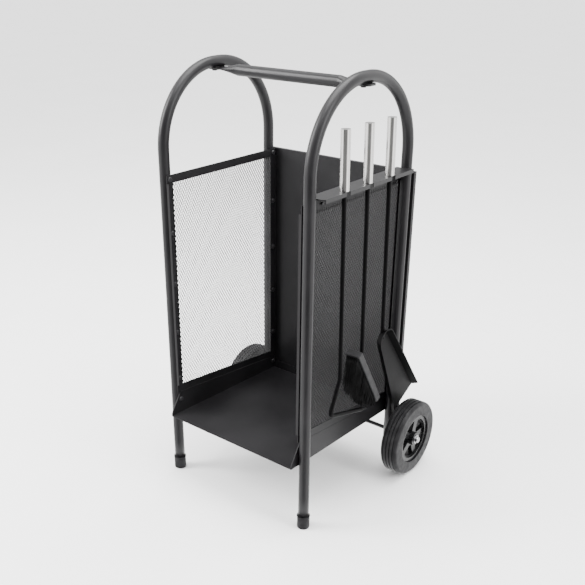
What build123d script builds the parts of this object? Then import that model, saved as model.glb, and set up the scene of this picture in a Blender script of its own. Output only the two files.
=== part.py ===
from build123d import *
import math
import os

# Firewood rack on two wheels, with three fire tools hung on a shelf at its right side.
# Millimetres. +Z is up, the open front faces -Y, and the tools hang at +X.
# The model is drawn about the middle of its four legs and moved at the end, so that
# its origin is on the floor under the middle of its bounding box.

# ---------------------------------------------------------------- overall sizes
rack_height = 800.0          # floor to the top of the hoops
hoop_spacing = 320.0         # between the middle planes of the two hoops, along X
leg_spacing = 288.0          # between the front and rear leg centres, along Y
panel_top = 611.0            # top edge of the side panels and the back panel

# ---------------------------------------------------------------- tube frame
tube_d = 20.0
tube_wall = 1.5
bend_radius = 138.0          # centre line of each of the two bends at the top of a hoop
rear_leg_below_axle = 13.0   # tube that is left below the axle's hole

# ---------------------------------------------------------------- handle bar
bar_d = 20.0
bar_wall = 1.5
bar_round_half = 110.0       # half length of the part that stays round
bar_press_width = 31.0       # across the flattened ends
bar_past_hoop = 2.5          # how far the flattened ends reach past the hoops
bar_screw_offset = 8.0       # each side of the middle, along Y

# ---------------------------------------------------------------- sheet parts
sheet = 1.2
panel_depth = 302.0          # side panels, along Y
panel_strip = 15.0           # width of the plain border round the mesh
panel_flange = 5.5           # borders folded inwards at the front and rear
panel_gap = 0.6              # between a side panel's lower edge and the tray
mesh_thick = 0.6
mesh_lap = 2.5               # mesh that lies on the border
back_past_leg = 1.5          # back panel, beyond the outer side of the legs
back_flange = 8.0            # folded backwards all round
back_drop = 2.0              # back panel's lower edge below the tray's rear edge

# ---------------------------------------------------------------- log tray
tray_sheet = 1.5
tray_height = 126.0          # underside of the tray at the middle of the legs
tray_tip = 2.6               # degrees that the tray tips down to the rear
tray_wall_front = 47.0       # side walls, at the front legs
tray_wall_rear = 28.0        # side walls, at the rear legs
tray_screw_share = 0.65      # how far up the side walls their screws are
tray_rear_wall = 18.0
tray_front = 170.0           # front edge, ahead of the middle of the legs
tray_nose = 7.0              # height of the side walls at the front edge
tray_nose_slope = 0.6        # how fast they rise from there
tray_rear_gap = 2.6          # to the back panel

# ---------------------------------------------------------------- tool shelf
shelf_top = 621.0
shelf_reach = 29.5           # outwards from the side panel's outer face
shelf_lip = 7.0              # folded down at the outer edge
shelf_tab = 30.0             # upright part inside the side panel
shelf_gap_front = 1.2        # to the front leg
shelf_leg_gap = 1.5          # round the rear leg
shelf_rear_short = 7.0       # shelf's rear end, short of the rear leg's centre
shelf_corner = 5.0           # cut off the outer front corner
tool_pitch = 68.0
tool_middle = 2.0            # middle tool, from the middle of the legs along Y
tool_out = 8.5               # tool rods, inwards from the shelf's outer edge
notch_gap = 1.0              # round a rod in its notch

# ---------------------------------------------------------------- fasteners
screw_d = 5.0
screw_head_d = 9.5
screw_head_h = 2.6
screw_bite = 3.0             # shank past the wall that it is driven through
screw_hole_gap = 0.25        # round a screw in a sheet
panel_screw_count = 5        # up each leg, evenly spaced
panel_screw_top = 8.0        # from a panel's top edge to its highest screws
panel_screw_foot = 30.0      # from the tray's wall to its lowest screws
shelf_screw_ends = 32.0      # shelf's outer screws, beyond the outer tools

# ---------------------------------------------------------------- feet
foot_wall = 1.7              # rubber round the leg
foot_height = 26.0
foot_sole = 6.0
foot_collar = 1.6            # height of the rim at the cap's mouth
foot_collar_out = 0.6        # how far that rim stands out
plug_flange = 2.0
plug_depth = 7.0

# ---------------------------------------------------------------- wheels
wheel_d = 154.0
tyre_width = 36.0
tyre_inner_d = 100.0
tyre_shoulder = 7.0
tread_grooves = 4
tread_groove_d = 1.6
tread_groove_w = 2.0
wheel_out = 45.5             # wheel's middle plane, outwards from its hoop's
axle_d = 8.0
axle_gap = 0.05              # hub bore, radial
washer_d = 17.0
washer_t = 1.6
side_play = 0.2              # between hub, washers and leg
rim_width = 30.0
rim_wall = 8.0
hub_barrel_d = 27.0
spoke_count = 5
spoke_thick = 9.0
spoke_width = 13.0
window_corner = 3.0
window_edge = 2.5            # between a window and the rim or the barrel
cap_d = 13.0
cap_h = 5.5

# ---------------------------------------------------------------- fire tools
grip_d = 16.0
grip_length = 98.0
grip_wall = 1.0
grip_floor = 2.0
grip_cap_t = 2.0
rod_d = 8.0
rod_in_grip = 18.0
seat_gap = 0.2               # between a grip's foot and the shelf
rod_lean = 1.0               # degrees that the rods lean out at the bottom

poker_shank = 336.0          # from the shelf down to the kink
poker_kink_y = -28.0         # from the kink to the corner
poker_kink_z = -66.0
poker_hook_y = 124.0         # from the corner to the point
poker_hook_z = -36.0
poker_bend_radius = 9.0
poker_point = 24.0           # tapered length

brush_block_length = 140.0
brush_block_width = 30.0
brush_block_thick = 13.0
brush_angle = 30.6           # block, from the vertical
brush_top = 299.0            # shelf down to the block's upper end
brush_rod_along = 41.0       # rod's seat on the block, from that end
brush_socket = 13.0          # depth of the rod in the block, along the rod
bristle_margin = 3.0         # block that is left bare round the bristles
bristle_upper_along = 56.5   # uppermost tips, down along the block
bristle_upper_out = 42.5     # and out from its face
bristle_lower_along = 120.5
bristle_lower_out = 30.5
bristle_heel_out = 10.0      # bristles at the block's lower end

pan_length = 188.0           # centre of the round end to the front edge
pan_end_radius = 17.0
pan_front_half = 39.0
pan_flare = 6.6
pan_wall_height = 13.0
pan_sheet = 1.5
pan_front_wall = 6.0         # height, at the front edge, of the wall nearer the wheel
pan_wall_taper = 45.0        # length over which that wall falls to it
pan_angle = 29.3             # pan, from the vertical
pan_centre_drop = 312.0      # shelf down to the centre of the round end
pan_centre_y = 6.0           # that centre, from the rod along Y
pan_rod_past = 12.0          # rod's lower end, past the pan's rear edge
pan_leg_gap = 0.8            # pan's floor to the back panel's edge

# ---------------------------------------------------------------- worked out from those
hoop_x = hoop_spacing / 2
leg_y = leg_spacing / 2
tube_r = tube_d / 2
hoop_top = rack_height - tube_r
wheel_r = wheel_d / 2
axle_z = wheel_r
panel_face = hoop_x - tube_r             # outer face of the side panels and tray
back_face = leg_y + tube_r               # front face of the back panel
shelf_edge = panel_face + shelf_reach
tool_x = shelf_edge - tool_out
shelf_grip = 2 * sheet + mesh_thick      # shelf, mesh and side panel
shelf_inner = panel_face - shelf_grip
tool_ys = [tool_middle + k * tool_pitch for k in (-1, 0, 1)]
tray_tilt = math.radians(tray_tip)
hoop_flat = leg_y - bend_radius          # half of the straight top of a hoop
underside_r = bend_radius - tube_r
bar_edge = max(bar_press_width / 2 - hoop_flat, 0.0)
bar_drop = underside_r - math.sqrt(underside_r**2 - bar_edge**2)
bar_z = hoop_top - tube_r - bar_wall - bar_drop
foot_r = tube_r + foot_wall


def tray_z(y, height=0.0):
    """Height above the floor of a point that is height above the tipped tray's underside."""
    return tray_height - y * math.tan(tray_tilt) + height / math.cos(tray_tilt)


def wall_height(y):
    """Height of the tray's side walls: falling evenly from the front legs to the rear."""
    share = (y + leg_y) / leg_spacing
    return tray_wall_front + (tray_wall_rear - tray_wall_front) * share


def cylinder_x(radius, x0, x1, y, z):
    """A cylinder along X between x0 and x1."""
    return Pos((x0 + x1) / 2, y, z) * Rot(0, 90, 0) * Cylinder(radius, abs(x1 - x0))


def block(x0, x1, y0, y1, z0, z1):
    """A box between two corners."""
    size = (x1 - x0, y1 - y0, z1 - z0)
    return Pos((x0 + x1) / 2, (y0 + y1) / 2, (z0 + z1) / 2) * Box(*size)


def side_prism(points, x0, x1):
    """A solid between x0 and x1 whose outline in Y and Z runs through the points."""
    outline = Polyline(*[(x0, y, z) for y, z in points], close=True)
    return extrude(make_face(outline), amount=x1 - x0, dir=(1, 0, 0))


def mirrored(solid):
    """The same piece for the left side."""
    return mirror(solid, about=Plane.YZ)


# ---------------------------------------------------------------- screws
def screw_along(point, direction, through):
    """A domed screw: its head sits at the point and its shank runs along the direction."""
    plane = Plane(origin=point, z_dir=direction)
    shank = extrude(plane * Circle(screw_d / 2), amount=through + screw_bite)
    head = extrude(plane * Circle(screw_head_d / 2), amount=-screw_head_h)
    crown = head.faces().sort_by(Axis(point, direction))[0]
    return shank + fillet(crown.edges(), screw_head_h * 0.6)


def screw_hole(point, direction, through, gap=0.0):
    """The round cut that a screw's shank needs, a little longer each way."""
    plane = Plane(origin=point, z_dir=direction)
    reach = through + screw_bite
    return extrude(plane * Circle(screw_d / 2 + gap), amount=reach) + extrude(
        plane * Circle(screw_d / 2 + gap), amount=-1.0
    )


def panel_screw_heights():
    """Heights of the screws in each upright border of a side panel."""
    low = tray_z(-leg_y, wall_height(-leg_y)) + panel_screw_foot
    high = panel_top - panel_screw_top
    pitch = (high - low) / (panel_screw_count - 1)
    return [low + pitch * k for k in range(panel_screw_count)]


def side_screw_points():
    """Heads of the right panel's screws, on its inner face over the leg centres."""
    inside = panel_face - sheet
    return [(inside, y, z) for y in (-leg_y, leg_y) for z in panel_screw_heights()]


def tray_screw_points():
    """Heads of the tray's right-hand screws, on the inner face of its side wall."""
    inside = panel_face - tray_sheet
    share = tray_screw_share
    return [(inside, y, tray_z(y, wall_height(y) * share)) for y in (-leg_y, leg_y)]


def back_screw_points():
    """Heads of the right-hand screws of the back panel, on its rear face."""
    return [(hoop_x, back_face + sheet, z) for z in panel_screw_heights()]


def bar_screw_points():
    """Heads of the handle bar's right-hand screws, under its flattened end."""
    return [(hoop_x, y, bar_z - bar_wall) for y in (-bar_screw_offset, bar_screw_offset)]


def shelf_screw_points():
    """Heads of the tool shelf's screws, on the inner face of its upright part."""
    z = panel_top - panel_strip / 2
    ends = shelf_screw_ends
    return [(shelf_inner, y, z) for y in (tool_ys[0] - ends, tool_middle, tool_ys[2] + ends)]


right, back, up = (1, 0, 0), (0, -1, 0), (0, 0, 1)


# ---------------------------------------------------------------- tube frame
def leg(y, z0, z1, radius):
    """A straight stretch of leg."""
    return Pos(hoop_x, y, (z0 + z1) / 2) * Cylinder(radius, z1 - z0)


def bend(sign, radius):
    """A quarter bend between a leg and the crown."""
    start = Plane(origin=(hoop_x, sign * leg_y, hoop_top - bend_radius), z_dir=up)
    hinge = Axis((hoop_x, sign * hoop_flat, hoop_top - bend_radius), (sign, 0, 0))
    return revolve(start * Circle(radius), hinge, revolution_arc=90)


def hoop_body(radius):
    """The whole hoop as a solid bar of one radius."""
    shoulder = hoop_top - bend_radius
    crown = Pos(hoop_x, 0, hoop_top) * Rot(90, 0, 0) * Cylinder(radius, 2 * hoop_flat)
    rear = leg(leg_y, axle_z - rear_leg_below_axle, shoulder, radius)
    front = leg(-leg_y, foot_sole, shoulder, radius)
    return rear + bend(1, radius) + crown + bend(-1, radius) + front


def right_hoop():
    """One bent tube: the front leg, the arch and the rear leg."""
    tube = hoop_body(tube_r) - hoop_body(tube_r - tube_wall)
    tube -= cylinder_x(axle_d / 2 + axle_gap, hoop_x - tube_d, hoop_x + tube_d, leg_y, axle_z)
    for point in side_screw_points():
        tube -= screw_hole(point, right, sheet + tube_wall)
    for point in tray_screw_points():
        tube -= screw_hole(point, right, tray_sheet + tube_wall)
    for point in back_screw_points():
        tube -= screw_hole(point, back, sheet + tube_wall)
    for point in bar_screw_points():
        tube -= screw_hole(point, up, 2 * bar_wall + tube_wall)
    return tube


def bar_section(x, width, height):
    """A slice across the handle bar, as an ellipse."""
    return Plane(origin=(x, 0, bar_z), x_dir=(0, 1, 0), z_dir=right) * Ellipse(width / 2, height / 2)


def handle_bar():
    """Tube across the hoops, pressed flat at both ends to lie under them."""
    press_x = hoop_x - tube_r - 4
    end_x = hoop_x + tube_r + bar_past_hoop
    middle = cylinder_x(bar_d / 2, -bar_round_half, bar_round_half, 0, bar_z)
    bore = cylinder_x(bar_d / 2 - bar_wall, -bar_round_half, bar_round_half, 0, bar_z)
    half_x = (bar_round_half + press_x) / 2
    half_width = (bar_d + bar_press_width) / 2
    half_height = (bar_d + 2 * bar_wall) / 2
    neck = loft(
        [
            bar_section(bar_round_half, bar_d, bar_d),
            bar_section(half_x, half_width, half_height),
            bar_section(press_x, bar_press_width, 2 * bar_wall),
        ]
    )
    tab = block(
        press_x,
        end_x,
        -bar_press_width / 2,
        bar_press_width / 2,
        bar_z - bar_wall,
        bar_z + bar_wall,
    )
    tab = fillet(tab.edges().filter_by(Axis.Z).group_by(Axis.X)[-1], bar_press_width * 0.3)
    end = neck + tab
    for point in bar_screw_points():
        end -= screw_hole(point, up, 2 * bar_wall)
    return (middle - bore) + end + mirrored(end)


# ---------------------------------------------------------------- sheet parts
def panel_outline(inset_y, inset_top, inset_bottom):
    """Corners in Y and Z of a side panel, inset by the given borders."""
    y = panel_depth / 2 - inset_y
    bottom = panel_gap + inset_bottom
    top = panel_top - inset_top
    front_foot = tray_z(-y, wall_height(-y) + bottom)
    rear_foot = tray_z(y, wall_height(y) + bottom)
    return [(-y, front_foot), (y, rear_foot), (y, top), (-y, top)]


def side_panel_frame():
    """Sheet border of the right mesh, folded inwards at the front and rear."""
    inner = panel_face - sheet
    frame = side_prism(panel_outline(0, 0, 0), inner, panel_face)
    frame -= side_prism(
        panel_outline(panel_strip, panel_strip, panel_strip), inner - 1, panel_face + 1
    )
    frame += panel_folds()
    for point in side_screw_points():
        frame -= screw_hole(point, right, sheet, screw_hole_gap)
    return frame


def right_panel_frame():
    """The right border, which also has holes for the shelf's screws."""
    frame = side_panel_frame()
    for point in shelf_screw_points():
        frame -= screw_hole(point, right, shelf_grip, screw_hole_gap)
    return frame


def panel_folds():
    """The two upright edges that are folded towards the logs, cut short at the corners."""
    half = panel_depth / 2
    low = tray_z(-half, wall_height(-half) + panel_gap) + panel_strip
    high = panel_top - panel_strip
    x0, x1 = panel_face - panel_flange, panel_face
    return block(x0, x1, -half, -half + sheet, low, high) + block(
        x0, x1, half - sheet, half, low, high
    )


def right_mesh():
    """Expanded-metal sheet spot-welded inside the border, as a plain thin plate."""
    lap = panel_strip - mesh_lap
    inner = panel_face - sheet
    return side_prism(panel_outline(lap, lap, lap), inner - mesh_thick, inner)


def back_panel():
    """Plain sheet behind the rear legs, with its four edges folded backwards."""
    half = hoop_x + tube_r + back_past_leg
    low = tray_z(leg_y) - back_drop
    y0 = back_face
    shell = block(-half, half, y0, y0 + back_flange, low, panel_top)
    hollow = block(
        -half + sheet,
        half - sheet,
        y0 + sheet,
        y0 + back_flange + 1,
        low + sheet,
        panel_top - sheet,
    )
    panel = shell - hollow
    for point in back_screw_points():
        hole = screw_hole(point, back, sheet, screw_hole_gap)
        panel -= hole + mirrored(hole)
    return panel


def tray_side(x0, x1):
    """A side wall of the tray before it is tipped, with its front corner cut off."""
    rear = back_face - tray_rear_gap
    top_y = -tray_front + (tray_wall_front - tray_nose) * tray_nose_slope
    outline = [
        (-tray_front, 0),
        (rear, 0),
        (rear, wall_height(rear)),
        (top_y, wall_height(top_y)),
        (-tray_front, tray_nose),
    ]
    return side_prism(outline, x0, x1)


def log_tray():
    """Folded sheet that carries the logs, tipped down to the rear."""
    rear = back_face - tray_rear_gap
    floor = block(-panel_face, panel_face, -tray_front, rear, 0, tray_sheet)
    wall = tray_side(panel_face - tray_sheet, panel_face)
    heel = block(-panel_face, panel_face, rear - tray_sheet, rear, 0, tray_rear_wall)
    tray = floor + wall + mirrored(wall) + heel
    tray = Pos(0, 0, tray_height) * Rot(-tray_tip, 0, 0) * tray
    for point in tray_screw_points():
        hole = screw_hole(point, right, tray_sheet, screw_hole_gap)
        tray -= hole + mirrored(hole)
    return tray


def shelf_notch(y):
    """Open slot for a tool's rod, from the shelf's outer edge inwards."""
    radius = rod_d / 2 + notch_gap
    slot = block(tool_x, shelf_edge + 1, y - radius, y + radius, shelf_top - 40, shelf_top + 1)
    return slot + Pos(tool_x, y, shelf_top) * Cylinder(radius, 80)


def shelf_top_sheet(y0, y1):
    """Flat top of the shelf, cut round the rear leg and at its outer front corner."""
    cut = shelf_corner
    corners = [
        (shelf_inner, y0),
        (shelf_edge - cut, y0),
        (shelf_edge, y0 + cut),
        (shelf_edge, y1),
        (hoop_x, y1),
        (hoop_x, leg_y - tube_r - shelf_leg_gap),
        (shelf_inner, leg_y - tube_r - shelf_leg_gap),
    ]
    outline = Polyline(*[(x, y, shelf_top - sheet) for x, y in corners], close=True)
    top = extrude(make_face(outline), amount=sheet, dir=up)
    return top - Pos(hoop_x, leg_y, shelf_top) * Cylinder(tube_r + shelf_leg_gap, 4 * sheet)


def tool_shelf():
    """Bent shelf screwed inside the right panel; the tools hang in its open notches."""
    y0 = -leg_y + tube_r + shelf_gap_front
    y1 = leg_y - shelf_rear_short
    tab_end = leg_y - tube_r - shelf_leg_gap
    tab_foot = shelf_top - shelf_tab
    tab = block(shelf_inner, shelf_inner + sheet, y0, tab_end, tab_foot, shelf_top)
    lip_foot = shelf_top - shelf_lip
    lip = block(shelf_edge - sheet, shelf_edge, y0 + shelf_corner, y1, lip_foot, shelf_top)
    shelf = shelf_top_sheet(y0, y1) + lip + tab
    for y in tool_ys:
        shelf -= shelf_notch(y)
    for point in shelf_screw_points():
        shelf -= screw_hole(point, right, sheet, screw_hole_gap)
    return shelf


# ---------------------------------------------------------------- feet
def right_foot_cap():
    """Rubber cap over the front leg's end, with a rounded sole and a collar."""
    cap = Pos(0, 0, foot_height / 2) * Cylinder(foot_r, foot_height)
    cap = fillet(cap.edges().sort_by(Axis.Z)[0], 2.4)
    collar = Pos(0, 0, foot_height - foot_collar / 2) * Cylinder(
        foot_r + foot_collar_out, foot_collar
    )
    bore = Pos(0, 0, (foot_sole + foot_height + 1) / 2) * Cylinder(
        tube_r, foot_height + 1 - foot_sole
    )
    return Pos(hoop_x, -leg_y, 0) * (cap + collar - bore)


def right_leg_plug():
    """Plastic plug in the lower end of the rear leg."""
    end = axle_z - rear_leg_below_axle
    flange = leg(leg_y, end - plug_flange, end, tube_r)
    return flange + leg(leg_y, end, end + plug_depth, tube_r - tube_wall)


# ---------------------------------------------------------------- axle and wheels
wheel_x = hoop_x + wheel_out
hub_in = hoop_x + tube_r + side_play + washer_t + side_play
hub_out = wheel_x + tyre_width / 2 + 1.0
cap_in = hub_out + side_play + washer_t
axle_end = cap_in + cap_h - 1.6


def axle():
    """Plain rod through both rear legs and both wheels."""
    return cylinder_x(axle_d / 2, -axle_end, axle_end, leg_y, axle_z)


def washer_ring(x0):
    """A flat washer on the axle."""
    ring = cylinder_x(washer_d / 2, x0, x0 + washer_t, leg_y, axle_z)
    return ring - cylinder_x(axle_d / 2, x0 - 1, x0 + washer_t + 1, leg_y, axle_z)


def right_washers():
    """The two washers at the sides of the right wheel's hub."""
    return [washer_ring(hoop_x + tube_r + side_play), washer_ring(hub_out + side_play)]


def right_axle_cap():
    """Domed push-on cap that holds the wheel on the axle."""
    cap = cylinder_x(cap_d / 2, cap_in, cap_in + cap_h, leg_y, axle_z)
    cap = fillet(cap.edges().sort_by(Axis.X)[-1], cap_h * 0.55)
    return cap - cylinder_x(axle_d / 2, cap_in - 1, axle_end, leg_y, axle_z)


def wheel_plane(x):
    """Plane across the axle."""
    return Plane(origin=(x, leg_y, axle_z), x_dir=(0, 1, 0), z_dir=right)


def right_tyre():
    """Solid rubber tyre with round shoulders and grooves round its tread."""
    half = tyre_width / 2
    tyre = cylinder_x(wheel_r, wheel_x - half, wheel_x + half, leg_y, axle_z)
    tyre = fillet(tyre.edges().filter_by(GeomType.CIRCLE), tyre_shoulder)
    tyre -= cylinder_x(tyre_inner_d / 2, wheel_x - half - 1, wheel_x + half + 1, leg_y, axle_z)
    pitch = (tyre_width - 2 * tyre_shoulder) / (tread_grooves - 1)
    for k in range(tread_grooves):
        x = wheel_x + (k - (tread_grooves - 1) / 2) * pitch
        tyre -= tread_groove(x)
    return tyre


def tread_groove(x):
    """A shallow square ring cut in the tread."""
    half = tread_groove_w / 2
    ring = cylinder_x(wheel_r + 1, x - half, x + half, leg_y, axle_z)
    return ring - cylinder_x(wheel_r - tread_groove_d, x - half, x + half, leg_y, axle_z)


def spoke_window(index):
    """One opening between two spokes: a ring's sector with straight sides."""
    inner = hub_barrel_d / 2 + window_edge
    outer = tyre_inner_d / 2 - rim_wall - window_edge
    step = 2 * math.pi / spoke_count
    side = spoke_width / 2
    lo_in = math.asin(side / inner)
    lo_out = math.asin(side / outer)
    middle = index * step + step / 2
    turn = [-step / 2 + lo_out, -step / 6, step / 6, step / 2 - lo_out]
    points = [(outer * math.cos(middle + a), outer * math.sin(middle + a)) for a in turn]
    narrow = step / 2 - lo_in
    points += [
        (inner * math.cos(middle + narrow), inner * math.sin(middle + narrow)),
        (inner * math.cos(middle - narrow), inner * math.sin(middle - narrow)),
    ]
    face = make_face(Polyline(*points, close=True))
    face = fillet(face.vertices(), min(window_corner, side * 0.4))
    cut = extrude(wheel_plane(wheel_x - tyre_width) * face, amount=2 * tyre_width)
    return cut


def right_hub():
    """Moulded wheel centre: a barrel, five spokes and the rim that the tyre sits on."""
    outer = tyre_inner_d / 2
    half = rim_width / 2
    rim = cylinder_x(outer, wheel_x - half, wheel_x + half, leg_y, axle_z)
    rim -= cylinder_x(outer - rim_wall, wheel_x - half - 1, wheel_x + half + 1, leg_y, axle_z)
    disc_x = wheel_x + half - spoke_thick - 4
    disc = cylinder_x(outer - rim_wall / 2, disc_x, disc_x + spoke_thick, leg_y, axle_z)
    for index in range(spoke_count):
        disc -= spoke_window(index)
    barrel = cylinder_x(hub_barrel_d / 2, hub_in, hub_out, leg_y, axle_z)
    hub = rim + disc + barrel
    return hub - cylinder_x(axle_d / 2 + axle_gap, hub_in - 1, hub_out + 1, leg_y, axle_z)


# ---------------------------------------------------------------- fire tools
def rod_point(y, drop):
    """Point on a leaning rod's centre line, a given drop below the shelf."""
    return (tool_x + drop * math.tan(math.radians(rod_lean)), y, shelf_top - drop)


def rod_plane(y, drop):
    """Plane across a leaning rod, with its normal up along the rod."""
    lean = math.radians(rod_lean)
    axis_up = (-math.sin(lean), 0, math.cos(lean))
    return Plane(origin=rod_point(y, drop), x_dir=(0, 1, 0), z_dir=axis_up)


def grip(y):
    """Stainless tube handle with a floor that the rod passes through."""
    plane = rod_plane(y, -seat_gap)
    tube = extrude(plane * Circle(grip_d / 2), amount=grip_length)
    hollow_plane = plane.offset(grip_floor)
    tube -= extrude(hollow_plane * Circle(grip_d / 2 - grip_wall), amount=grip_length)
    return tube - extrude(plane * Circle(rod_d / 2), amount=rod_in_grip)


def grip_cap(y):
    """Disc that closes the top of a grip."""
    plane = rod_plane(y, -seat_gap).offset(grip_length - grip_cap_t)
    return extrude(plane * Circle(grip_d / 2 - grip_wall), amount=grip_cap_t)


def rod(y, drop):
    """Straight rod from inside the grip down to the given drop."""
    top = rod_plane(y, -seat_gap).offset(rod_in_grip)
    length = rod_in_grip + (drop + seat_gap) / math.cos(math.radians(rod_lean))
    return extrude(top * Circle(rod_d / 2), amount=-length)


def poker_rod():
    """Rod that kinks forward near its lower end and turns back into a pointed hook."""
    y = tool_ys[0]
    x, _, kink_z = rod_point(y, poker_shank)
    start = rod_plane(y, -seat_gap).offset(rod_in_grip).origin
    corner = (x, y + poker_kink_y, kink_z + poker_kink_z)
    share = 1 - poker_point / math.hypot(poker_hook_y, poker_hook_z)
    straight_end = (x, corner[1] + poker_hook_y * share, corner[2] + poker_hook_z * share)
    path = FilletPolyline(start, (x, y, kink_z), corner, straight_end, radius=poker_bend_radius)
    bar = sweep(Plane(origin=path @ 0, z_dir=path % 0) * Circle(rod_d / 2), path=path)
    end = Plane(origin=path @ 1, z_dir=path % 1)
    nose = loft([end * Circle(rod_d / 2), end.offset(poker_point) * Circle(rod_d / 8)])
    return bar + nose


def brush_frame():
    """Plane of the brush: x down along the block, y out through the bristles."""
    angle = math.radians(brush_angle)
    x, y, _ = rod_point(tool_ys[1], brush_top)
    seat_y = brush_rod_along * math.sin(angle)
    along = (0, math.sin(angle), -math.cos(angle))
    origin = (x, y - seat_y, shelf_top - brush_top)
    return Plane(origin=origin, x_dir=along, z_dir=(-1, 0, 0))


def brush_solid(points, width):
    """A solid across the brush whose outline lies in the brush's plane."""
    face = make_face(brush_frame() * Polyline(*points, close=True))
    return extrude(face, amount=width / 2, both=True)


def brush_block():
    """Tipped block that holds the bristles, with softened edges and the rod's socket."""
    points = [
        (0, 0),
        (brush_block_length, 0),
        (brush_block_length, brush_block_thick),
        (0, brush_block_thick),
    ]
    block_solid = fillet(brush_solid(points, brush_block_width).edges(), 1.5)
    return block_solid - rod(tool_ys[1], brush_rod_drop())


def brush_rod_drop():
    """How far below the shelf the brush's rod ends, inside the block."""
    return brush_top + brush_rod_along * math.cos(math.radians(brush_angle)) + brush_socket


def bristles():
    """Outer shape of the bristles: long at the upper end and short at the lower end."""
    low = brush_block_length - bristle_margin
    face = brush_block_thick
    points = [
        (bristle_margin, face),
        (low, face),
        (low + bristle_margin / 2, face + bristle_heel_out),
        (bristle_lower_along, face + bristle_lower_out),
        (bristle_upper_along, face + bristle_upper_out),
    ]
    return brush_solid(points, brush_block_width - 2 * bristle_margin)


def pan_outline(x, spread):
    """The pan's edge at one depth: a round rear end and straight flaring sides."""
    angle = math.radians(pan_angle)
    along = (0, math.sin(angle), -math.cos(angle))
    origin = (x, tool_ys[2] + pan_centre_y, shelf_top - pan_centre_drop)
    plane = Plane(origin=origin, x_dir=along, z_dir=right)
    r = pan_end_radius + spread
    half = pan_front_half + spread
    side = Line((pan_length, -half), (0, -r))
    end = RadiusArc((0, -r), (0, r), r)
    other = Line((0, r), (pan_length, half))
    front = Line((pan_length, half), (pan_length, -half))
    return plane * make_face([side, end, other, front])


def pan_back():
    """X of the pan's rear face, just outside the back panel's edge."""
    return hoop_x + tube_r + back_past_leg + pan_leg_gap


def shovel_rod():
    """Rod that passes through the pan's rear wall."""
    return rod(tool_ys[2], pan_centre_drop - pan_end_radius + pan_rod_past)


def pan_wall_cut():
    """Wedge that lowers the wall nearer the wheel towards the pan's front edge."""
    x0 = pan_back()
    angle = math.radians(pan_angle)
    along = (0, math.sin(angle), -math.cos(angle))
    origin = (x0, tool_ys[2] + pan_centre_y, shelf_top - pan_centre_drop)
    across = (0, -math.cos(angle), -math.sin(angle))
    plane = Plane(origin=origin, x_dir=along, z_dir=across)
    start = pan_length - pan_wall_taper
    top = pan_wall_height + 1
    points = [(start, top), (start, pan_wall_height), (pan_length, pan_front_wall)]
    points += [(pan_length + 1, pan_front_wall), (pan_length + 1, top)]
    side = 1 if plane.y_dir.X > 0 else -1
    wedge = make_face(plane * Polyline(*[(u, side * v) for u, v in points], close=True))
    return extrude(wedge, amount=2 * pan_front_half, dir=across)


def shovel_pan():
    """Pressed pan, open at its front edge, with walls that spread outwards."""
    x0 = pan_back()
    outer = loft([pan_outline(x0, 0), pan_outline(x0 + pan_wall_height, pan_flare)])
    slope = pan_flare / pan_wall_height
    x1 = x0 + pan_sheet
    inner = loft(
        [
            pan_outline(x1, pan_sheet * (slope - 1.15)),
            pan_outline(x1 + pan_wall_height, pan_flare + pan_sheet * (slope - 1.15)),
        ]
    )
    angle = math.radians(pan_angle)
    shift = (0, math.sin(angle) * 6, -math.cos(angle) * 6)
    return outer - inner - Pos(*shift) * inner - pan_wall_cut() - shovel_rod()


nodes = {}


def add(name, shape):
    """Keeps one sub-part, or a list of identical pieces as separate solids."""
    nodes[name] = shape


def add_pair(name, shape):
    """Keeps the right-hand piece and its mirror image at the left."""
    pieces = shape if isinstance(shape, list) else [shape]
    flipped = [mirrored(piece) for piece in pieces]
    nodes["right_" + name] = pieces if len(pieces) > 1 else pieces[0]
    nodes["left_" + name] = flipped if len(flipped) > 1 else flipped[0]


add_pair("hoop", right_hoop())
add("handle_bar", handle_bar())
bar_screws = [screw_along(p, up, 2 * bar_wall + tube_wall) for p in bar_screw_points()]
add("handle_bar_screws", bar_screws + [mirrored(s) for s in bar_screws])
add("right_panel_frame", right_panel_frame())
add("left_panel_frame", mirrored(side_panel_frame()))
add_pair("mesh", right_mesh())
add_pair("panel_screws", [screw_along(p, right, sheet + tube_wall) for p in side_screw_points()])
add("back_panel", back_panel())
back_screws = [screw_along(p, back, sheet + tube_wall) for p in back_screw_points()]
add("back_panel_screws", back_screws + [mirrored(s) for s in back_screws])
add("log_tray", log_tray())
tray_screws = [screw_along(p, right, tray_sheet + tube_wall) for p in tray_screw_points()]
add("log_tray_screws", tray_screws + [mirrored(s) for s in tray_screws])
add("tool_shelf", tool_shelf())
add("tool_shelf_screws", [screw_along(p, right, shelf_grip) for p in shelf_screw_points()])
add_pair("foot_cap", right_foot_cap())
add_pair("leg_plug", right_leg_plug())
add("axle", axle())
add_pair("wheel_washers", right_washers())
add_pair("axle_cap", right_axle_cap())
add_pair("tyre", right_tyre())
add_pair("wheel_hub", right_hub())
for tool, tool_y in zip(("poker", "brush", "shovel"), tool_ys):
    add(tool + "_grip", grip(tool_y))
    add(tool + "_grip_cap", grip_cap(tool_y))
add("poker_rod", poker_rod())
add("brush_rod", rod(tool_ys[1], brush_rod_drop()))
add("brush_block", brush_block())
add("brush_bristles", bristles())
add("shovel_rod", shovel_rod())
add("shovel_pan", shovel_pan())

everything = []
for shape in nodes.values():
    everything += shape if isinstance(shape, list) else [shape]
box = Compound(children=[Compound(piece.solids()) for piece in everything]).bounding_box()
to_origin = Pos(-(box.min.X + box.max.X) / 2, -(box.min.Y + box.max.Y) / 2, -box.min.Z)
print("moved by", to_origin.position, "size", box.size)

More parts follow.
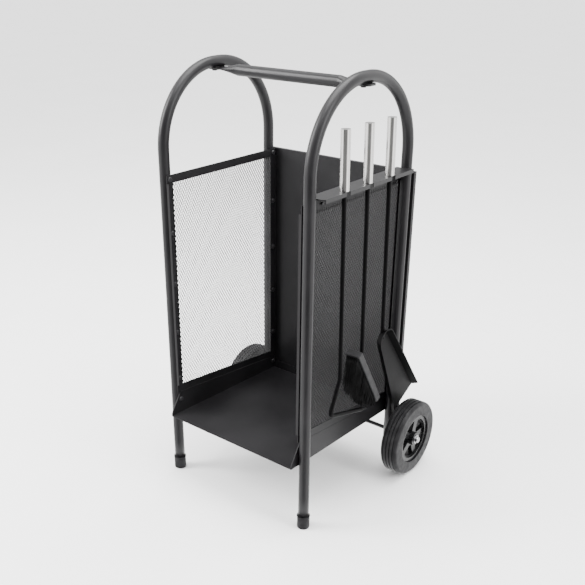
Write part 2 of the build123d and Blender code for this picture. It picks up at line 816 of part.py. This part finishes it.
os.makedirs("parts", exist_ok=True)
for name, shape in nodes.items():
    pieces = shape if isinstance(shape, list) else [shape]
    solids = [to_origin * solid for piece in pieces for solid in piece.solids()]
    export_step(solids[0] if len(solids) == 1 else Compound(solids), f"parts/{name}.step")
    print(name, len(solids))
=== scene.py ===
# %% [markdown]
# # A wheeled firewood rack with its fire tools
# The rack is two bent tube hoops joined by a handle bar, a sheet back, mesh sides and a
# tipped tray. Three tools hang in the notches of a shelf on its right side.
# The CAD frame gives every piece its place and size. This script gives the pieces their
# finish, and builds afresh the ones whose surface is finer than a CAD solid holds:
# the tubes, the diamond mesh and the bristles.

# %% Load the fixed frame
import math
import random

import bpy
import numpy as np
from mathutils import Matrix, Vector


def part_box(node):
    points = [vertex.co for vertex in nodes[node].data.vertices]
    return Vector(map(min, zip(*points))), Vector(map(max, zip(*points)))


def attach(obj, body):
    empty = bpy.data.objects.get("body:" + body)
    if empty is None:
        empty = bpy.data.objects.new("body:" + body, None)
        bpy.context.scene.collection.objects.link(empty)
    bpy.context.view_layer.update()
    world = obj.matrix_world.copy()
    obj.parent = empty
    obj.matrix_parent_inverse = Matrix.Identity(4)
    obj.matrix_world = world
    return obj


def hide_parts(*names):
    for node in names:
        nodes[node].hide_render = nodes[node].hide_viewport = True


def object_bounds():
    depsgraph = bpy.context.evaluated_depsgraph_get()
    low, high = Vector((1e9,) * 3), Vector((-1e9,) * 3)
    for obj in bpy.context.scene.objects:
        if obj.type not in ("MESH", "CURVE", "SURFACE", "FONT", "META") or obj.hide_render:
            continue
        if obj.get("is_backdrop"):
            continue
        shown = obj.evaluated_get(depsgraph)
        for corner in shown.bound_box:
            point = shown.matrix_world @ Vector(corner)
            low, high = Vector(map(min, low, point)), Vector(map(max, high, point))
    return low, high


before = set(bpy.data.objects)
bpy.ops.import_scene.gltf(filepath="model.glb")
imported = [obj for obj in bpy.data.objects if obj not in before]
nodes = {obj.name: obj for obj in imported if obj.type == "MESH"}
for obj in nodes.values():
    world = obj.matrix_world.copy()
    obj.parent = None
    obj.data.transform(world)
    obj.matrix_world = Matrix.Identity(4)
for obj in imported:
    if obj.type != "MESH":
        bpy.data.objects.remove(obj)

size_at_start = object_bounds()

# %% [markdown]
# ## Sizes read from the frame
# The places of the hoops, the panels and the brush are measured on the CAD nodes, so the
# finer pieces sit where the solids are. A box cannot tell a bend's radius, where a tube is
# plugged or how a turned block measures, so those few values repeat the solids' own.

# %% Read sizes from the frame
hoop_low, hoop_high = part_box("right_hoop")
hoop_x = (hoop_low.x + hoop_high.x) / 2
tube_r = (hoop_high.x - hoop_low.x) / 2
rear_y = hoop_high.y - tube_r
front_y = hoop_low.y + tube_r
mid_y = (rear_y + front_y) / 2
hoop_top = hoop_high.z - tube_r
bend_r = 0.138
rear_leg_end = 0.0645
front_leg_end = 0.0065
print("hoop centre x", round(hoop_x, 4), "legs at y", round(front_y, 4), round(rear_y, 4))

# %% [markdown]
# ## Small mesh helpers
# Every fine piece is made from arrays of points and faces. A grid of rings is the one
# pattern that all of them share: each ring is joined to the next by four-sided faces.


# %% Mesh helpers
def mesh_object(name, points, faces, smooth=True):
    """Makes an object at the origin whose vertices are the points, in metres."""
    mesh = bpy.data.meshes.new(name)
    mesh.from_pydata([tuple(p) for p in points], [], [tuple(f) for f in faces])
    mesh.update()
    mesh.polygons.foreach_set("use_smooth", [smooth] * len(mesh.polygons))
    obj = bpy.data.objects.new(name, mesh)
    bpy.context.scene.collection.objects.link(obj)
    return obj


def ring_faces(count, sides, start=0):
    """Faces between count rings of so many sides: corner i of ring k joins ring k + 1."""
    faces = []
    for k in range(count - 1):
        a = start + k * sides
        b = a + sides
        for i in range(sides):
            j = (i + 1) % sides
            faces.append((a + i, a + j, b + j, b + i))
    return faces


def tube(name, x, path, radius, sides=48):
    """Round bar of constant x: each ring is centre + radius (cos t X + sin t N), N across the path."""
    path = np.array(path, float)
    tangent = np.gradient(path, axis=0)
    tangent /= np.linalg.norm(tangent, axis=1)[:, None]
    points = []
    for (y, z), (ty, tz) in zip(path, tangent):
        for i in range(sides):
            t = 2 * math.pi * i / sides
            across = radius * math.sin(t)
            points.append((x + radius * math.cos(t), y - tz * across, z + ty * across))
    faces = ring_faces(len(path), sides)
    last = (len(path) - 1) * sides
    faces.append(tuple(range(sides))[::-1])
    faces.append(tuple(last + i for i in range(sides)))
    return mesh_object(name, points, faces)


def outward(obj):
    """Turns all faces of a closed mesh to point outwards."""
    import bmesh

    work = bmesh.new()
    work.from_mesh(obj.data)
    bmesh.ops.recalc_face_normals(work, faces=work.faces)
    work.to_mesh(obj.data)
    work.free()
    return obj


# %% [markdown]
# ## Materials
# Each finish is a small node tree fed by the piece's own coordinates. A slow noise gives
# patches of handling and dust, and a fast one gives the surface its grain. Both change the
# colour, the roughness and the relief a little, because a real surface never has one value.


# %% Material helpers
def new_material(name):
    """An empty material with a surface shader; returns the material, tree and shader."""
    material = bpy.data.materials.new(name)
    material.use_nodes = True
    tree = material.node_tree
    return material, tree, tree.nodes["Principled BSDF"]


def noise(tree, scale, detail=4.0, stretch=(1, 1, 1)):
    """Noise in the piece's own coordinates, in cycles per metre, stretched along the axes."""
    coords = tree.nodes.new("ShaderNodeTexCoord")
    mapping = tree.nodes.new("ShaderNodeMapping")
    mapping.inputs["Scale"].default_value = stretch
    texture = tree.nodes.new("ShaderNodeTexNoise")
    texture.inputs["Scale"].default_value = scale
    texture.inputs["Detail"].default_value = detail
    tree.links.new(coords.outputs["Object"], mapping.inputs["Vector"])
    tree.links.new(mapping.outputs["Vector"], texture.inputs["Vector"])
    return texture.outputs["Fac"]


def remap(tree, value, low, high, to_low, to_high):
    """Moves a value from one range to another in a straight line, held at the ends."""
    node = tree.nodes.new("ShaderNodeMapRange")
    node.inputs["From Min"].default_value = low
    node.inputs["From Max"].default_value = high
    node.inputs["To Min"].default_value = to_low
    node.inputs["To Max"].default_value = to_high
    tree.links.new(value, node.inputs["Value"])
    return node.outputs["Result"]


def blend_colours(tree, share, first, second):
    """Mixes two colours by a share between 0 and 1."""
    node = tree.nodes.new("ShaderNodeMix")
    node.data_type = "RGBA"
    tree.links.new(share, node.inputs["Factor"])
    for socket, colour in ((node.inputs["A"], first), (node.inputs["B"], second)):
        if hasattr(colour, "links"):
            tree.links.new(colour, socket)
        else:
            socket.default_value = (*colour, 1)
    return node.outputs["Result"]


def relief(tree, shader, height, strength, depth):
    """Bump: tilts the surface as if it rose by depth times the height."""
    bump = tree.nodes.new("ShaderNodeBump")
    bump.inputs["Strength"].default_value = strength
    bump.inputs["Distance"].default_value = depth
    tree.links.new(height, bump.inputs["Height"])
    tree.links.new(bump.outputs["Normal"], shader.inputs["Normal"])


def powder_coat(name, colour, rough, dust=0.35, shine=0.3, grain=1400):
    """Sprayed and baked paint: orange-peel relief, faint pale dust in slow patches."""
    material, tree, shader = new_material(name)
    shader.inputs["Specular IOR Level"].default_value = shine
    patches = noise(tree, 9, 5)
    speckle = noise(tree, grain, 2)
    dusty = tuple(c + dust * 0.05 for c in colour)
    dark = tuple(c * 0.72 for c in colour)
    fine = remap(tree, speckle, 0.35, 0.65, 0, 1)
    slow = remap(tree, patches, 0.42, 0.68, 0, 1)
    base = blend_colours(tree, fine, dark, colour)
    tree.links.new(blend_colours(tree, slow, base, dusty), shader.inputs["Base Color"])
    tree.links.new(
        remap(tree, patches, 0.3, 0.7, rough - 0.06, rough + 0.09), shader.inputs["Roughness"]
    )
    relief(tree, shader, noise(tree, grain * 0.55, 3), 0.28, 0.00018)
    return material


def brushed_metal(name, colour, rough, stretch, lines=900):
    """Brushed or drawn metal: long thin scratches along one axis, and faint finger marks."""
    material, tree, shader = new_material(name)
    shader.inputs["Metallic"].default_value = 1.0
    scratch = noise(tree, lines, 3, stretch)
    marks = noise(tree, 35, 4)
    streak = remap(tree, scratch, 0.3, 0.7, 0, 1)
    darker = tuple(c * 0.8 for c in colour)
    tree.links.new(blend_colours(tree, streak, darker, colour), shader.inputs["Base Color"])
    rough_out = remap(tree, marks, 0.3, 0.75, rough - 0.04, rough + 0.1)
    tree.links.new(rough_out, shader.inputs["Roughness"])
    relief(tree, shader, scratch, 0.12, 0.0001)
    return material


def rubber(name, colour, rough=0.72):
    """Moulded rubber: fine stipple and grey wear in patches."""
    material, tree, shader = new_material(name)
    shader.inputs["Specular IOR Level"].default_value = 0.13
    wear = remap(tree, noise(tree, 40, 6), 0.45, 0.75, 0, 1)
    worn = tuple(c * 1.5 + 0.012 for c in colour)
    tree.links.new(blend_colours(tree, wear, colour, worn), shader.inputs["Base Color"])
    tree.links.new(
        remap(tree, noise(tree, 120, 3), 0.3, 0.7, rough - 0.08, rough + 0.1),
        shader.inputs["Roughness"],
    )
    relief(tree, shader, noise(tree, 1600, 2), 0.35, 0.00025)
    return material


def plastic(name, colour, rough, shine=0.4):
    """Moulded plastic: slight flow marks and small changes of gloss."""
    material, tree, shader = new_material(name)
    shader.inputs["Specular IOR Level"].default_value = shine
    flow = remap(tree, noise(tree, 60, 4), 0.35, 0.7, 0, 1)
    pale = tuple(c * 1.35 + 0.004 for c in colour)
    tree.links.new(blend_colours(tree, flow, colour, pale), shader.inputs["Base Color"])
    tree.links.new(
        remap(tree, noise(tree, 90, 3), 0.3, 0.7, rough - 0.05, rough + 0.07),
        shader.inputs["Roughness"],
    )
    relief(tree, shader, noise(tree, 700, 2), 0.08, 0.0001)
    return material


# %% Make the finishes
tube_coat = powder_coat("tube_coat", (0.0088, 0.0083, 0.0093), 0.34, dust=0.05, shine=0.24)
panel_coat = powder_coat("panel_coat", (0.008, 0.0076, 0.0085), 0.46, dust=0.05, shine=0.2)
shelf_coat = powder_coat("shelf_coat", (0.0085, 0.0082, 0.009), 0.36, dust=0.06, shine=0.24)
mesh_coat = powder_coat("mesh_coat", (0.007, 0.0067, 0.0074), 0.42, dust=0.04, shine=0.24)
tool_coat = powder_coat("tool_coat", (0.0020, 0.0019, 0.0022), 0.44, dust=0.01, shine=0.05)
screw_coat = powder_coat("screw_coat", (0.016, 0.0155, 0.017), 0.3, dust=0.12)
foot_rubber = rubber("foot_rubber", (0.011, 0.0108, 0.0118), 0.6)
tyre_rubber = rubber("tyre_rubber", (0.0062, 0.006, 0.0067), 0.44)
hub_plastic = plastic("hub_plastic", (0.0036, 0.0036, 0.004), 0.26, 0.24)
block_plastic = plastic("block_plastic", (0.0072, 0.007, 0.0077), 0.44, 0.15)
plug_plastic = plastic("plug_plastic", (0.012, 0.012, 0.013), 0.5)
stainless = brushed_metal("stainless", (0.62, 0.61, 0.595), 0.17, (1, 1, 0.012))
zinc = brushed_metal("zinc", (0.55, 0.55, 0.56), 0.35, (0.2, 1, 1))
chrome = brushed_metal("chrome", (0.42, 0.42, 0.43), 0.14, (1, 1, 1), 500)
fibre = plastic("fibre", (0.0005, 0.0005, 0.0006), 0.42, 0.12)

# %% [markdown]
# ## Finish of the carried-over pieces
# The CAD solids keep their meshes. Only their material changes.

# %% Dress the CAD pieces
finishes = {
    tube_coat: ["handle_bar", "axle", "left_hoop", "right_hoop"],
    panel_coat: ["left_panel_frame", "right_panel_frame", "back_panel", "log_tray"],
    shelf_coat: ["tool_shelf"],
    mesh_coat: ["left_mesh", "right_mesh"],
    screw_coat: [name for name in nodes if name.endswith("_screws")],
    foot_rubber: ["left_foot_cap", "right_foot_cap"],
    plug_plastic: ["left_leg_plug", "right_leg_plug"],
    zinc: ["left_wheel_washers", "right_wheel_washers"],
    chrome: ["left_axle_cap", "right_axle_cap"],
    tyre_rubber: ["left_tyre", "right_tyre"],
    hub_plastic: ["left_wheel_hub", "right_wheel_hub"],
    stainless: [name for name in nodes if "_grip" in name],
    tool_coat: ["poker_rod", "brush_rod", "shovel_rod", "shovel_pan"],
    block_plastic: ["brush_block"],
    fibre: ["brush_bristles"],
}
dressed = set()
for material, names in finishes.items():
    for name in names:
        nodes[name].data.materials.clear()
        nodes[name].data.materials.append(material)
        dressed.add(name)
print("undressed:", sorted(set(nodes) - dressed))

# %% [markdown]
# ## The hoops
# One tube bent twice. Its centre line is a leg, a quarter circle, a short crown, a quarter
# circle and the other leg. Sweeping a ring along that line gives a smoother highlight than
# the facets of an exported solid.


# %% Build the hoops
def hoop_line(steps=40):
    """Centre line in y and z, from the rear leg's lower end over the top to the front's."""
    shoulder = hoop_top - bend_r
    line = [(rear_y, z) for z in np.linspace(rear_leg_end, shoulder, 12)]
    flat = rear_y - mid_y - bend_r
    for sign in (1, -1):
        turns = np.linspace(0, math.pi / 2, steps)
        if sign < 0:
            turns = turns[::-1]
        for a in turns:
            line.append((mid_y + sign * (flat + bend_r * math.cos(a)), shoulder + bend_r * math.sin(a)))
    line += [(front_y, z) for z in np.linspace(shoulder, front_leg_end, 12)]
    clean = [line[0]]
    for point in line[1:]:
        if math.dist(point, clean[-1]) > 1e-5:
            clean.append(point)
    return clean


for side, sign in (("left", -1), ("right", 1)):
    hoop = outward(tube(side + "_hoop_tube", sign * hoop_x, hoop_line(), tube_r))
    hoop.data.materials.append(tube_coat)
    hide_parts(side + "_hoop")
    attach(hoop, "rack")

# %% [markdown]
# ## The expanded-metal sides
# Expanded metal is slit and pulled open, so that each strand runs in a wave and touches the
# next one at its crests. Neighbouring waves are half a cell out of step, which leaves the
# diamonds, here taller than they are wide. Each wave is a flat bar: a ring of four corners
# carried up it.

# %% Numbers for the mesh
cell_y = 0.0060
cell_z = 0.0096
strand = 0.0007
strand_thick = 0.0009
stations_per_cell = 4
top_gap = 0.0004


# %% Build one mesh side
def diamond_mesh(name, x, low, high, foot_front, foot_rear):
    """Waves y = column +- (cell_y / 4) cos(2 pi z / cell_z), from the sloped foot to the top."""
    points, faces = [], []
    step = cell_z / stations_per_cell
    columns = int((high.y - low.y) / (cell_y / 2))
    for column in range(columns):
        y = low.y + (column + 0.5) * cell_y / 2
        share = (y - low.y) / (high.y - low.y)
        foot = foot_front + (foot_rear - foot_front) * share
        count = int((high.z - foot) / step)
        start = len(points)
        phase = 1 if column % 2 else -1
        for k in range(count + 1):
            turn = 2 * math.pi * k / stations_per_cell
            wave = phase * cell_y / 4 * math.cos(turn)
            z = high.z - top_gap - k * step
            twist = 0.3 * strand * math.cos(turn) * phase
            for dx, dy in ((-1, -1), (1, -1), (1, 1), (-1, 1)):
                px = x + dx * strand_thick / 2 + dy * twist * 0.4
                points.append((px, y + wave + dy * strand / 2, z))
        faces += ring_faces(count + 1, 4, start)
        end = len(points) - 4
        faces.append((start + 3, start + 2, start + 1, start))
        faces.append((end, end + 1, end + 2, end + 3))
    return mesh_object(name, points, faces, smooth=False)


for side, sign in (("left", -1), ("right", 1)):
    low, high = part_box(side + "_mesh")
    verts = np.array([v.co for v in nodes[side + "_mesh"].data.vertices])
    foot_front = verts[verts[:, 1] < low.y + 0.001][:, 2].min()
    foot_rear = verts[verts[:, 1] > high.y - 0.001][:, 2].min()
    x = (low.x + high.x) / 2 - sign * (strand_thick - (high.x - low.x)) / 2
    mesh = diamond_mesh(side + "_diamond_mesh", x, low, high, foot_front, foot_rear)
    outward(mesh)
    mesh.data.materials.append(mesh_coat)
    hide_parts(side + "_mesh")
    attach(mesh, "rack")
    print(mesh.name, "faces", len(mesh.data.polygons))

# %% [markdown]
# ## The bristles
# Each fibre is a thin three-sided spike. It leaves the block square to its face and bends
# down towards its tip, so that the tips together make the brush's sloping edge.

# %% Numbers for the bristles
block_low, block_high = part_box("brush_block")
brush_angle = math.radians(30.6)
along = np.array([0, math.sin(brush_angle), -math.cos(brush_angle)])
out = np.array([0, -math.cos(brush_angle), -math.sin(brush_angle)])
brush_x = (block_low.x + block_high.x) / 2
block_thick = 0.013
block_length = 0.140
# The block's rear upper corner: its highest point is the corner on the rod's side.
upper_y = block_high.y - block_length * math.sin(brush_angle)
upper_corner = np.array([brush_x, upper_y, block_high.z])
tuft_rows = 30
tuft_columns = 7
fibres_per_tuft = 8
fibre_r = 0.00062
tips = np.array([(0.0565, 0.0555), (0.092, 0.050), (0.1205, 0.0435), (0.1375, 0.0235)])


# %% Build the bristles
def fibre_points(root, control, tip, radius, steps=5):
    """Rings of three corners on the curve (1-t)^2 root + 2t(1-t) control + t^2 tip."""
    rings = []
    for k in range(steps):
        t = k / (steps - 1)
        centre = (1 - t) ** 2 * root + 2 * t * (1 - t) * control + t * t * tip
        width = radius * (1 - 0.7 * t)
        for i in range(3):
            a = 2 * math.pi * i / 3
            rings.append(centre + width * (math.cos(a) * np.array([1, 0, 0]) + math.sin(a) * along))
    return rings


def bristle_tip(share):
    """Point of the tips' edge at a share of the way down the brush."""
    steps = np.linspace(0, 1, len(tips))
    return np.array([np.interp(share, steps, tips[:, 0]), np.interp(share, steps, tips[:, 1])])


random.seed(4)
points, faces = [], []
for r in range(tuft_rows):
    share = r / (tuft_rows - 1)
    for c in range(tuft_columns):
        sideways = -1 + 2 * c / (tuft_columns - 1)
        clump = (random.uniform(-0.05, 0.05), random.uniform(0.86, 1.0), random.uniform(-0.002, 0.002))
        for _ in range(fibres_per_tuft):
            down = 0.005 + share * 0.130 + random.uniform(-0.0007, 0.0007)
            root = upper_corner + along * down + out * (block_thick - 0.001)
            root = root + np.array([sideways * 0.0115 + random.uniform(-0.0010, 0.0010), 0, 0])
            spread = clump[0] + random.uniform(-0.004, 0.004)
            reach = bristle_tip(min(max(share + spread, 0), 1))
            length = clump[1] * random.uniform(0.95, 1.0)
            tip = upper_corner + along * reach[0] + out * reach[1]
            tip = tip + np.array([sideways * 0.0125 + clump[2] + random.uniform(-0.0007, 0.0007), 0, 0])
            tip = root + (tip - root) * length
            control = root * 0.62 + tip * 0.38
            control = control + out * 0.16 * np.linalg.norm(tip - root) * (0.3 + 0.7 * share)
            start = len(points)
            points += fibre_points(root, control, tip, fibre_r)
            faces += ring_faces(5, 3, start)
            faces.append((start + 2, start + 1, start))
            faces.append((start + 12, start + 13, start + 14))
bristles = outward(mesh_object("brush_fibres", points, faces))
bristles.data.materials.append(fibre)
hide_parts("brush_bristles")
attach(bristles, "brush")
print("bristle faces", len(bristles.data.polygons))

# %% [markdown]
# ## Floor, light and camera
# A pale floor under a banded sky, with a large soft light at the left and a smaller one at
# the right to draw the highlights down the tubes, and a wide one above.


# %% Floor
def plain_floor(half=30.0):
    """A square far larger than the view; mirrors look through it to the sky below."""
    points = [(-half, -half, 0), (half, -half, 0), (half, half, 0), (-half, half, 0)]
    floor = mesh_object("floor", points, [(0, 1, 2, 3)], smooth=False)
    material, tree, shader = new_material("floor")
    patches = remap(tree, noise(tree, 3, 3), 0.3, 0.7, 0, 1)
    colour = blend_colours(tree, patches, (0.9, 0.9, 0.9), (0.92, 0.92, 0.92))
    tree.links.new(colour, shader.inputs["Base Color"])
    shader.inputs["Roughness"].default_value = 0.8
    floor.data.materials.append(material)
    floor.visible_glossy = False
    floor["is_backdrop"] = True


plain_floor()


# %% Lights
def soft_light(name, place, target, size, power):
    """A square lamp at the place, turned to face the target."""
    lamp = bpy.data.lights.new(name, "AREA")
    lamp.shape = "RECTANGLE"
    lamp.size, lamp.size_y = size
    lamp.energy = power
    holder = bpy.data.objects.new(name, lamp)
    holder.location = place
    holder.rotation_euler = (Vector(target) - Vector(place)).to_track_quat("-Z", "Y").to_euler()
    bpy.context.scene.collection.objects.link(holder)
    holder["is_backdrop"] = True


soft_light("key", (-1.6, -1.5, 1.7), (0, 0, 0.4), (0.9, 1.7), 112)
soft_light("side", (2.1, 0.1, 1.5), (0, 0, 0.4), (0.5, 1.6), 30)
soft_light("top", (0.1, 0.2, 2.6), (0, 0, 0.4), (1.8, 1.8), 105)


# %% [markdown]
# The sky has bright bands, dimmer ones abeam of and across from the viewer, and a dark gap
# at the viewer. A polished tube shows that gap as the dark stripe down its middle, with
# bright lines at both sides.


# %% Sky
def studio_sky(azimuth_degrees):
    """Strength over the sky: a ramp of the cosine between a direction and the viewer's."""
    world = bpy.data.worlds.new("sky")
    world.use_nodes = True
    tree = world.node_tree
    coords = tree.nodes.new("ShaderNodeTexCoord")
    dot = tree.nodes.new("ShaderNodeVectorMath")
    dot.operation = "DOT_PRODUCT"
    turn = math.radians(azimuth_degrees)
    dot.inputs[1].default_value = (math.sin(turn), -math.cos(turn), 0)
    tree.links.new(coords.outputs["Generated"], dot.inputs[0])
    share = remap(tree, dot.outputs["Value"], -1, 1, 0, 1)
    ramp = tree.nodes.new("ShaderNodeValToRGB")
    stops = [(0.0, 0.3), (0.1, 0.35), (0.16, 1.0), (0.36, 1.0), (0.42, 0.5), (0.5, 0.55)]
    stops += [(0.56, 1.0), (0.82, 1.0), (0.87, 0.16), (1.0, 0.1)]
    while len(ramp.color_ramp.elements) < len(stops):
        ramp.color_ramp.elements.new(0.5)
    for element, (place, value) in zip(ramp.color_ramp.elements, stops):
        element.position = place
        element.color = (value, value, value, 1)
    tree.links.new(share, ramp.inputs["Fac"])
    background = tree.nodes["Background"]
    tree.links.new(ramp.outputs["Color"], background.inputs["Color"])
    background.inputs["Strength"].default_value = 3.3
    bpy.context.scene.world = world


studio_sky(34.0)

# %% Camera
azimuth, elevation, roll = (math.radians(a) for a in (38.629, 25.122, 0.311))
back = Vector(
    (
        math.sin(azimuth) * math.cos(elevation),
        -math.cos(azimuth) * math.cos(elevation),
        math.sin(elevation),
    )
)
level = Vector((math.cos(azimuth), math.sin(azimuth), 0))
upright = back.cross(level)
right = level * math.cos(roll) + upright * math.sin(roll)
up = upright * math.cos(roll) - level * math.sin(roll)
lens = bpy.data.cameras.new("camera")
lens.sensor_width = 36.0
lens.lens = 51.28
lens.shift_x = 0.0209
lens.shift_y = 0.0862
camera = bpy.data.objects.new("camera", lens)
turn = Matrix((right, up, back)).transposed().to_4x4()
eye = (0.91166, mid_y - 1.15570, 0.96728)
camera.matrix_world = Matrix.Translation(eye) @ turn
bpy.context.scene.collection.objects.link(camera)
bpy.context.scene.camera = camera

# %% [markdown]
# ## Size and finish
# The bounds of the shown pieces at the start and at the end are given side by side. The
# finer pieces may not reach past the solids that they stand for.

# %% Finish
size_at_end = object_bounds()


def plain(value):
    """Nested tuples, vectors and dictionaries as plain lists."""
    if isinstance(value, dict):
        return {key: plain(item) for key, item in value.items()}
    if hasattr(value, "__len__") and not isinstance(value, str):
        return [plain(item) for item in value]
    return value


{"frame": plain(size_at_start), "visual": plain(size_at_end)}
print("frame", plain(size_at_start), "visual", plain(size_at_end))
